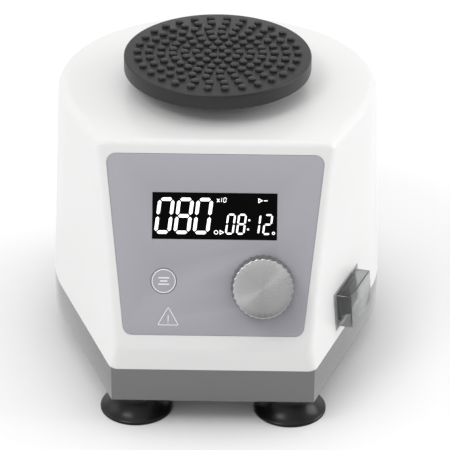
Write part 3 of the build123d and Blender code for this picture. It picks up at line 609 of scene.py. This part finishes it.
capacitor_blue = banded("capacitor_blue", (0.01, 0.02, 0.09), (0.015, 0.03, 0.12), 0.25, "Z", 90.0)
wound_copper = banded(
    "wound_copper", (0.48, 0.2, 0.08), (0.2, 0.08, 0.03), 0.35, "Z", 420.0, metal=0.8, depth=0.08
)
label_silver = banded(
    "label_silver", (0.66, 0.66, 0.66), (0.58, 0.58, 0.59), 0.4, "X", 160.0, metal=0.3, depth=0.002
)
circuit_green = board_finish("circuit_green")
lit_white = lit_finish("lit_white", (0.95, 0.95, 0.95), 0.9)
clear_hood = clear_plastic("clear_hood", (0.66, 0.67, 0.67), 0.05)
turned_silver = metal_turned("turned_silver", (0.58, 0.58, 0.58), 0.3, KNOB_AT, PANEL_OUT)
# Knob side and flutes: the knob's silver darkened to about half the face's tone, painted shade standing for the
# dark flute walls.
shade_darkened_knob_silver = finish(
    "shade_darkened_knob_silver", (0.3, 0.3, 0.3), 0.42, metal=1.0, grain=1500.0, depth=0.006, cloud=160.0,
    mottle=0.85, worn=(0.75, 0.75, 0.75), reach=0.15,
)

FINISH_OF = {
    "white_housing": white_paint,
    "grey_base": grey_paint,
    "label": label_silver,
    "zinc_steel": zinc_plate,
    "black_rubber": black_rubber,
    "panel_film": panel_film,
    "display_glass": display_black,
    "black_plastic": moulded_black,
    "circuit_board": circuit_green,
    "encoder_metal": zinc_plate,
    "brass": tinned_brass,
    "clear_plastic": clear_hood,
    "cast_ballast": black_oxide,
    "capacitor_sleeve": capacitor_blue,
    "ground_steel": plain_steel,
    "spring_steel": spring_wire,
    "aluminium": machined_aluminium,
    "motor_paint": motor_black,
    "copper_stack": wound_copper,
    "silver_knob": shade_darkened_knob_silver,
    "platform_rubber": mat_rubber,
}
for entry in frame["record"]["subparts"]:
    packed = nodes[entry["node"]]
    packed.data.materials.clear()
    packed.data.materials.append(FINISH_OF[entry["material_slot"]])

# ---------------------------------------------------------------- camera
CAMERA_AZIMUTH = math.radians(0.477)
CAMERA_HEIGHT = math.radians(29.653)
CAMERA_ROLL = math.radians(0.524)
CAMERA_AWAY = 1.09267
CAMERA_AIM = Vector((3.53 * MM, AXIS_Y, 43.15 * MM))


def aim_camera():
    lens = bpy.data.cameras.new("camera")
    lens.sensor_width = 36.0
    lens.lens = 208.0
    lens.clip_start = 0.05
    lens.clip_end = 30.0
    camera = bpy.data.objects.new("camera", lens)
    scene.collection.objects.link(camera)
    back = Vector((
        math.sin(CAMERA_AZIMUTH) * math.cos(CAMERA_HEIGHT),
        -math.cos(CAMERA_AZIMUTH) * math.cos(CAMERA_HEIGHT),
        math.sin(CAMERA_HEIGHT),
    ))
    right = Vector((math.cos(CAMERA_AZIMUTH), math.sin(CAMERA_AZIMUTH), 0))
    up = back.cross(right)
    level = math.cos(CAMERA_ROLL) * right + math.sin(CAMERA_ROLL) * up
    rise = math.cos(CAMERA_ROLL) * up - math.sin(CAMERA_ROLL) * right
    camera.matrix_world = place(level, rise, back, CAMERA_AIM + back * CAMERA_AWAY)
    scene.camera = camera


aim_camera()

# ---------------------------------------------------------------- housing and base
settle(
    from_cad("housing_shell"), "housing_cover", "housing", white_paint,
    ("housing_shell",),
)
settle(
    from_cad("base_tray", width=0.2), "base_pan", "housing", grey_paint, ("base_tray",)
)


def suction_cup():
    """Cup foot: hollow underneath, thin lip, flared skirt, neck and snap-in bulb."""
    dome = (13.2**2 + 4.2**2) / (2 * 4.2)
    hollow = [(r, math.sqrt(dome**2 - r**2) + 4.2 - dome) for r in (0.6, 4.0, 7.5, 10.5, 12.3)]
    skirt = [
        (13.2, 0.0), (14.45, 0.0), (14.6, 0.15), (14.6, 0.85), (14.45, 1.1), (13.9, 1.45),
        (12.9, 2.1), (11.9, 2.95), (10.95, 4.0), (10.1, 5.2), (9.5, 6.4), (9.1, 7.6),
        (8.95, 8.6), (9.25, 9.0), (9.25, 9.7), (8.95, 10.1), (8.7, 10.9), (8.6, 11.0),
    ]
    bulb = [(3.9, 11.0), (3.9, 14.0), (5.0, 14.0), (5.0, 15.2), (2.6, 17.4), (0.6, 17.4)]
    return turned(hollow + skirt + bulb, 72)


for side in ("front_left", "front_right", "rear_left", "rear_right"):
    foot = "foot_" + side
    middle = (low(foot) + high(foot)) / 2
    cup = suction_cup()
    smooth(cup, 40)
    settle(
        cup, "suction_cup_" + side, "housing", black_rubber, (foot,),
        Matrix.Translation((middle.x, middle.y, 0)),
    )


# ---------------------------------------------------------------- platform
PLATE_R = 38.0
PLATE_TOP = 124.0
PLATE_LOW = 117.8
RIM_R = 36.05  # inner face of the mat's turned-down rim
STUD_RINGS = (6, 12, 18, 25, 25, 30, 30)
STUD_FIRST_R = 3.9
STUD_PITCH = 4.78
AXLE = Matrix.Translation((0, high("platform_pad").y - PLATE_R * MM, 0))


def studded_mat():
    """Rubber mat that wraps the disc's edge, with rings of round studs."""
    mat = turned(
        [
            (RIM_R, 121.4), (RIM_R, PLATE_LOW), (37.7, PLATE_LOW), (37.95, 117.95),
            (PLATE_R, 118.25), (PLATE_R, 123.2), (37.94, 123.5), (37.77, 123.77), (37.5, 123.94),
            (37.2, PLATE_TOP),
        ],
        160,
    )
    stud = turned(
        [(1.74, 123.8), (1.69, PLATE_TOP), (1.58, 124.95), (1.48, 125.2), (1.24, 125.3)], 16
    )
    smooth(stud, 50)
    spots = []
    for number, count in enumerate(STUD_RINGS):
        reach = (STUD_FIRST_R + number * STUD_PITCH) * MM
        for step in range(count):
            turn = math.tau * step / count
            spots.append(Matrix.Translation((reach * math.cos(turn), reach * math.sin(turn), 0)))
    studs = copies(stud, spots)
    smooth(mat, 40)
    return joined([mat, studs])


settle(
    studded_mat(), "studded_mat", "platform", mat_rubber, ("platform_pad",), AXLE
)


BELLOWS_LOW = 109.6


def bellows():
    """Soft collar round the drive's neck, with room for the neck's small circle."""
    outside = [
        (20.5, BELLOWS_LOW), (20.5, 110.85), (20.3, 111.0), (18.2, 111.0), (17.6, 111.2), (16.3, 111.9),
        (16.1, 112.2), (16.6, 112.8), (17.2, 113.2), (17.2, 113.5), (16.4, 113.8), (15.2, 114.3),
        (15.0, 114.6), (15.4, 115.1), (15.6, 115.6), (15.4, 116.3), (14.8, 116.7),
    ]
    inside = [
        (13.2, 116.75), (13.0, 116.5), (13.4, 114.6), (15.3, 112.6), (15.6, 110.2),
        (15.8, BELLOWS_LOW),
    ]
    collar = turned(outside + inside, 96)
    pick(collar, editing=True)
    bpy.ops.mesh.select_all(action="DESELECT")
    done()
    for face in collar.data.polygons:
        face.select = len(face.vertices) > 4
    bpy.ops.object.mode_set(mode="EDIT")
    bpy.ops.mesh.delete(type="FACE")
    bpy.ops.mesh.select_all(action="DESELECT")
    bpy.ops.mesh.select_non_manifold()
    bpy.ops.mesh.bridge_edge_loops()
    bpy.ops.mesh.select_all(action="SELECT")
    bpy.ops.mesh.normals_make_consistent(inside=False)
    done()
    smooth(collar, 50)
    return collar


boot = settle(bellows(), "neck_bellows", "housing", black_rubber, ("neck_boot",), AXIS)
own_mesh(boot)


def coil_springs():
    """Four wound springs on the guide posts."""
    bpy.ops.object.select_all(action="DESELECT")
    bpy.ops.mesh.primitive_circle_add(
        vertices=12, radius=0.55 * MM, rotation=(math.pi / 2, 0, 0), location=(4.5 * MM, 0, 50.6 * MM)
    )
    wire = bpy.context.object
    bpy.ops.object.transform_apply(location=True, rotation=True, scale=True)
    winding = wire.modifiers.new("winding", "SCREW")
    winding.angle = math.tau
    winding.iterations = 4
    winding.screw_offset = 2.2 * MM
    winding.steps = 36
    winding.render_steps = 36
    bpy.ops.object.modifier_apply(modifier="winding")
    pick(wire, editing=True)
    bpy.ops.mesh.select_all(action="DESELECT")
    bpy.ops.mesh.select_non_manifold()
    bpy.ops.mesh.fill_holes(sides=0)
    bpy.ops.mesh.select_all(action="SELECT")
    bpy.ops.mesh.normals_make_consistent(inside=False)
    done()
    smooth(wire, 60)
    posts = [(x * MM, y * MM, 0) for x in (-26, 26) for y in (-26, 26)]
    return copies(wire, [Matrix.Translation(post) for post in posts])


springs = settle(
    coil_springs(), "coil_springs", "housing", spring_wire,
    ("carriage_springs",), AXIS,
)
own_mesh(springs)

# ---------------------------------------------------------------- control panel
settle(
    from_cad("panel_overlay", width=0.1), "panel_sheet", "housing", panel_film,
    ("panel_overlay",),
)

key = turned([(4.88, -0.5), (4.92, -0.12), (4.8, 0.0), (4.4, 0.03), (2.2, 0.06)], 72)
stem = turned([(2.0, -4.2), (2.0, -0.4)], 32)
smooth(key, 40)
settle(
    joined([key, stem]), "key_cap", "mode_button", panel_film, ("mode_key",),
    on_panel(*MODE),
)


def outline_ring(radius, width, steps=64):
    """A thin printed ring."""
    bpy.ops.object.select_all(action="DESELECT")
    bpy.ops.mesh.primitive_circle_add(vertices=steps, radius=radius * MM, fill_type="NGON")
    piece = bpy.context.object
    bpy.ops.object.mode_set(mode="EDIT")
    bpy.ops.mesh.select_all(action="SELECT")
    bpy.ops.mesh.inset(thickness=width * MM)
    bpy.ops.mesh.delete(type="FACE")
    done()
    return piece


def printed_triangle(side_length, width):
    """A thin printed triangle with rounded corners."""
    bpy.ops.object.select_all(action="DESELECT")
    bpy.ops.mesh.primitive_circle_add(
        vertices=3, radius=side_length / math.sqrt(3) * MM, fill_type="NGON"
    )
    piece = bpy.context.object
    bpy.ops.object.mode_set(mode="EDIT")
    bpy.ops.mesh.select_all(action="SELECT")
    bpy.ops.mesh.bevel(offset=side_length * 0.09 * MM, segments=6, affect="VERTICES")
    bpy.ops.mesh.select_all(action="SELECT")
    bpy.ops.mesh.inset(thickness=width * MM)
    bpy.ops.mesh.delete(type="FACE")
    done()
    return piece


INK = 0.03


def bar(width, height, u, v, round_by=0.0):
    """One printed bar of a symbol."""
    piece = slab(width, height, INK, round_by)
    piece.location = (u * MM, v * MM, 0)
    bpy.ops.object.transform_apply(location=True, rotation=True, scale=True)
    return piece


ring_print = outline_ring(4.68, 0.3)
thicken(ring_print, INK)
symbol = [bar(width, 0.42, 0, row, 0.2) for width, row in ((4.4, 1.25), (3.0, 0.0), (4.4, -1.25))]
settle(
    joined([ring_print, *symbol]), "key_print", "mode_button", print_white, (),
    on_panel(*MODE, 0.05),
)
caution = printed_triangle(8.6, 0.26)
thicken(caution, INK)
settle(
    joined([caution, bar(0.32, 2.5, 0, 0.35, 0.15), bar(0.36, 0.36, 0, -1.55, 0.17)]),
    "caution_print", "housing", print_white, (), on_panel(-17.8, 12.35, 0.0),
)


# ---------------------------------------------------------------- display digits
SEGMENTS_OF = {
    "0": "abcdef", "1": "bc", "2": "abged", "8": "abcdefg",
}
SLANT = 0.12
# width, height and stroke of the three sizes of figure
LARGE = (6.5, 14.3, 1.35)
SMALL = (3.4, 8.2, 0.72)
TINY = (1.3, 2.0, 0.3)
GAP_SHARE = 0.62  # gap between two bars, as a share of the stroke


def segment(length, thick):
    """One flat bar of a digit, with pointed ends."""
    bpy.ops.object.select_all(action="DESELECT")
    bpy.ops.mesh.primitive_plane_add(size=1)
    piece = bpy.context.object
    piece.scale = (length * MM, thick * MM, 1)
    bpy.ops.object.transform_apply(location=True, rotation=True, scale=True)
    bpy.ops.object.mode_set(mode="EDIT")
    bpy.ops.mesh.select_all(action="SELECT")
    bpy.ops.mesh.bevel(offset=thick * 0.46 * MM, segments=1, affect="VERTICES")
    done()
    thicken(piece, INK)
    return piece


def digit(figure, u, v, width, height, thick):
    """A lit figure made of bars, leaning to the right, centred on u, v."""
    across, up = width - thick, (height - thick) / 2
    gap = thick * GAP_SHARE
    spots = {
        "a": (0, up, 0), "g": (0, 0, 0), "d": (0, -up, 0),
        "b": (across / 2, up / 2, 1), "c": (across / 2, -up / 2, 1),
        "e": (-across / 2, -up / 2, 1), "f": (-across / 2, up / 2, 1),
    }
    lean = Matrix(((1, SLANT, 0, 0), (0, 1, 0, 0), (0, 0, 1, 0), (0, 0, 0, 1)))
    bars = []
    for letter in SEGMENTS_OF[figure]:
        x, y, upright = spots[letter]
        piece = segment((up if upright else across) - gap, thick)
        spot = Matrix.Translation((x * MM, y * MM, 0)) @ Matrix.Rotation(
            upright * math.pi / 2, 4, "Z"
        )
        piece.data.transform(Matrix.Translation((u * MM, v * MM, 0)) @ lean @ spot)
        bars.append(piece)
    return bars


lit = []
for figure, u in zip("080", (-19.7, -12.15, -4.6)):
    lit += digit(figure, u, 53.0, *LARGE)
for figure, u in zip("0812", (6.2, 10.5, 16.2, 20.8)):
    lit += digit(figure, u, 50.0, *SMALL)
for v in (48.0, 51.6):
    lit.append(bar(0.75, 0.75, 13.35 + (v - 50.0) * SLANT, v, 0.2))
for figure, u in zip("10", (2.1, 3.9)):
    lit += digit(figure, u, 59.4, *TINY)
for turn in (-1, 1):
    stroke = segment(1.7, 0.32)
    stroke.data.transform(
        Matrix.Translation((1.3 * MM, 59.2 * MM, 0)) @ Matrix.Rotation(turn * 0.9, 4, "Z")
    )
    lit.append(stroke)
for u, v in ((17.6, 59.3), (2.6, 46.7)):
    pointer = printed_triangle(2.0, 0.28)
    thicken(pointer, INK)
    pointer.data.transform(
        Matrix.Translation((u * MM, v * MM, 0)) @ Matrix.Rotation(-math.pi / 2, 4, "Z")
    )
    lit.append(pointer)
lit.append(bar(1.5, 0.32, 19.9, 59.3, 0.12))
for radius, u, v in ((0.85, 0.6, 46.7), (0.6, 23.1, 46.6)):
    circle = outline_ring(radius, 0.28, 32)
    thicken(circle, INK)
    circle.data.transform(Matrix.Translation((u * MM, v * MM, 0)))
    lit.append(circle)
settle(
    joined(lit), "display_figures", "housing", lit_white, (),
    PANEL,
)


# ---------------------------------------------------------------- knob
FLUTES = 30
FLUTE_SHARE = 0.46
FLUTE_DEPTH = 0.42
FLUTE_FROM_R = 11.5  # nothing inside this radius is fluted
KNOB_FACE_R = 11.9
KNOB_TOP = 13.2


def fluted_knob():
    """Turned knob, its shallow finger flutes running up to a slightly crowned face."""
    per_flute = 8
    side = [
        (9.0, 5.4), (9.0, 1.0), (12.35, 1.0), (12.6, 1.2), (12.56, 1.9), (12.3, 6.5),
        (12.0, 12.0), (11.93, 12.85), (11.8, 13.02),
    ]
    face = [
        (11.2, 13.06), (9.0, 13.12), (6.5, 13.17), (4.0, 13.19), (1.8, KNOB_TOP), (0.3, KNOB_TOP),
    ]
    piece = turned(side + face, FLUTES * per_flute)
    for vertex in piece.data.vertices:
        across = math.hypot(vertex.co.x, vertex.co.y)
        turn = math.atan2(vertex.co.y, vertex.co.x) * FLUTES / math.tau
        near = abs(turn - round(turn)) / FLUTE_SHARE
        if across > FLUTE_FROM_R * MM and near < 1:
            shrink = (across - FLUTE_DEPTH * MM * (1 - near**2)) / across
            vertex.co.x *= shrink
            vertex.co.y *= shrink
    smooth(piece, 50)
    return piece


knob_body = fluted_knob()
bore = turned([(5.2, 3.6), (5.2, 12.0)], 48)
knob_body = joined([knob_body, bore])
# The side and flutes take the darkened silver, which is painted shade; the face takes the lighter turned silver.
settle(
    knob_body, "fluted_knob", "knob_turning", shade_darkened_knob_silver, ("knob",),
    on_panel(*KNOB),
)
knob_body.data.materials.append(turned_silver)
knob_centre = on_panel(*KNOB, KNOB_TOP).translation
for facet in knob_body.data.polygons:
    on_face = (facet.center - knob_centre).length < KNOB_FACE_R * MM
    if on_face and facet.normal.dot(PANEL_OUT) > 0.9:
        facet.material_index = 1


# ---------------------------------------------------------------- power switch
HOOD = (22.8, 14.2, 6.3)
HOOD_FOOT = 0.1
FLANGE = (27.2, 16.0)


def clear_cover():
    """Clear splash hood: an open-backed box with a flange all round."""
    bpy.ops.object.select_all(action="DESELECT")
    middle = HOOD_FOOT + HOOD[2] / 2
    bpy.ops.mesh.primitive_cube_add(size=1, location=(0, 0, middle * MM))
    piece = bpy.context.object
    piece.scale = [size * MM for size in HOOD]
    bpy.ops.object.transform_apply(location=True, rotation=True, scale=True)
    bpy.ops.object.mode_set(mode="EDIT")
    bpy.ops.mesh.select_all(action="DESELECT")
    bpy.ops.object.mode_set(mode="OBJECT")
    for face in piece.data.polygons:
        face.select = face.normal.z < -0.5
    bpy.ops.object.mode_set(mode="EDIT")
    bpy.ops.mesh.delete(type="ONLY_FACE")
    bpy.ops.mesh.select_all(action="DESELECT")
    bpy.ops.mesh.select_non_manifold()
    bpy.ops.mesh.extrude_edges_move(TRANSFORM_OT_translate={"value": (0, 0, 0)})
    bpy.ops.transform.resize(
        value=(FLANGE[0] / HOOD[0], FLANGE[1] / HOOD[1], 1), center_override=(0, 0, HOOD_FOOT * MM)
    )
    done()
    wall = piece.modifiers.new("wall", "SOLIDIFY")
    wall.thickness = 0.6 * MM
    wall.offset = -1.0
    wall.use_even_offset = True
    bpy.ops.object.modifier_apply(modifier="wall")
    bevelled(piece, 0.18, 2)
    smooth(piece, 35)
    return piece


settle(
    clear_cover(), "clear_cover", "housing", clear_hood, ("switch_hood",), WALL_FACE
)
settle(
    from_cad("switch_frame", width=0.15), "switch_surround", "housing",
    moulded_black, ("switch_frame",),
)
settle(
    from_cad("switch_rocker", width=0.25), "rocker_paddle", "rocker",
    moulded_black, ("switch_rocker",),
)

# ---------------------------------------------------------------- supply inlet
settle(
    from_cad("dc_jack", width=0.15), "inlet_socket", "housing", moulded_black,
    ("dc_jack",),
)


# ---------------------------------------------------------------- studio
def studio():
    """Pale floor and soft light from above and both sides."""
    bpy.ops.object.select_all(action="DESELECT")
    bpy.ops.mesh.primitive_plane_add(size=12)
    floor = bpy.context.object
    floor.name = "floor"
    paint, tree, shader = new_finish("floor_paper")
    effect = use(tree, GRAIN, Grain_Scale=300.0, Cloud_Scale=2.0)
    tone = mixed(tree, effect.outputs["Cloud"], (0.86, 0.86, 0.86), (0.88, 0.88, 0.88))
    tree.links.new(tone, shader.inputs["Base Color"])
    shader.inputs["Roughness"].default_value = 0.8
    floor.data.materials.append(paint)
    for name, spot, size, power, aim in (
        ("overhead", (0.0, 0.0, 1.5), (1.4, 0.8), 3.0, (0, 0, 0.05)),
        ("key", (-0.6, -0.7, 1.2), (0.5, 0.4), 4.0, (0, 0, 0.08)),
        ("left", (-1.4, 0.1, 0.7), (1.0, 0.8), 2.2, (0, 0, 0.06)),
        ("right", (1.4, 0.1, 0.6), (1.0, 0.8), 8.5, (0, 0, 0.06)),
    ):
        lamp = bpy.data.lights.new(name, "AREA")
        lamp.shape = "RECTANGLE"
        lamp.size, lamp.size_y = size
        lamp.energy = power
        light = bpy.data.objects.new(name, lamp)
        scene.collection.objects.link(light)
        light.location = spot
        light.rotation_euler = (Vector(aim) - Vector(spot)).to_track_quat("-Z", "Y").to_euler()
    world = bpy.data.worlds.new("studio")
    scene.world = world
    world.use_nodes = True
    tree = world.node_tree
    where = tree.nodes.new("ShaderNodeTexCoord").outputs["Generated"]
    split = tree.nodes.new("ShaderNodeSeparateXYZ")
    tree.links.new(where, split.inputs[0])
    ahead = maths(tree, "MULTIPLY", split.outputs["Y"], -1.0, clamp=True)
    beneath = spread(tree, split.outputs["Z"], 1.0, 0.0, 0.1, 0.45)
    dim = maths(tree, "MULTIPLY", maths(tree, "MULTIPLY", ahead, beneath), -0.95)
    rightward = maths(tree, "MULTIPLY", maths(tree, "MAXIMUM", split.outputs["X"], -0.2), ahead)
    dim = maths(tree, "SUBTRACT", dim, maths(tree, "MULTIPLY", rightward, 0.8))
    back = tree.nodes["Background"]
    back.inputs["Color"].default_value = (1.0, 1.0, 1.0, 1.0)
    bright = maths(tree, "MULTIPLY", maths(tree, "ADD", dim, 1.0), 0.85)
    tree.links.new(bright, back.inputs["Strength"])


studio()
scene.view_settings.view_transform = "Standard"
